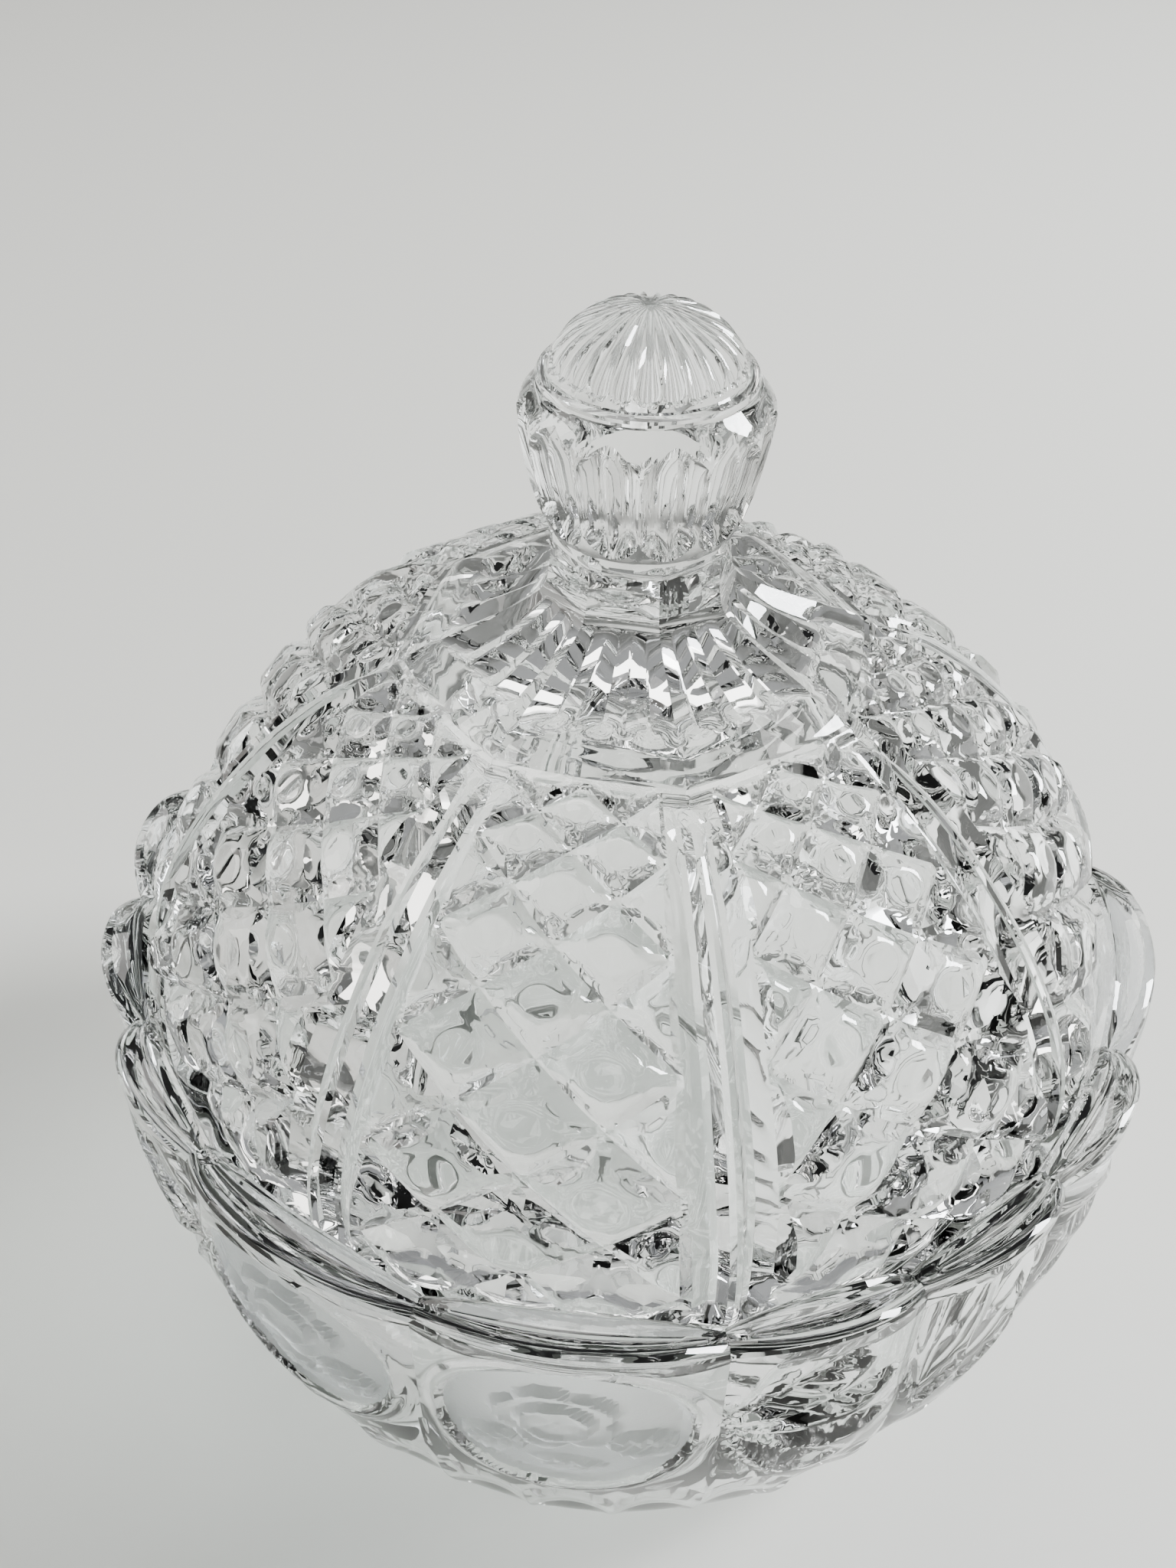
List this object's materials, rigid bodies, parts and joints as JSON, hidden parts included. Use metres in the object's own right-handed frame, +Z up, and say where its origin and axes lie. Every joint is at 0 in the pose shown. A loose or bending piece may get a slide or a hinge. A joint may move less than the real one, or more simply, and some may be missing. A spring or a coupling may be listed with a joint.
{
  "type": "covered candy dish",
  "caption": "Round clear pressed-glass candy dish with a scalloped bowl and a domed, diamond-patterned lid that lifts off by its fluted knob.",
  "frame": {"origin": "centre of the bowl's flat foot, on the table", "axes": "+Z up along the axis of the dish; -Y points to the front, where two medallions meet"},
  "size_m": [0.1456, 0.1459, 0.1634],
  "materials": {
    "bowl_glass": "clear pressed glass, fire-polished, with frosted medallions",
    "lid_glass": "clear pressed glass, fire-polished"
  },
  "bodies": {
    "bowl": {"bowl": "bowl_glass"},
    "lid": {"lid": "lid_glass"}
  },
  "joints": [
    {"name": "lid_lift", "type": "slide", "parent": "bowl", "child": "lid", "axis": [0, 0, 1], "range_m": [0, 0.12]}
  ]
}
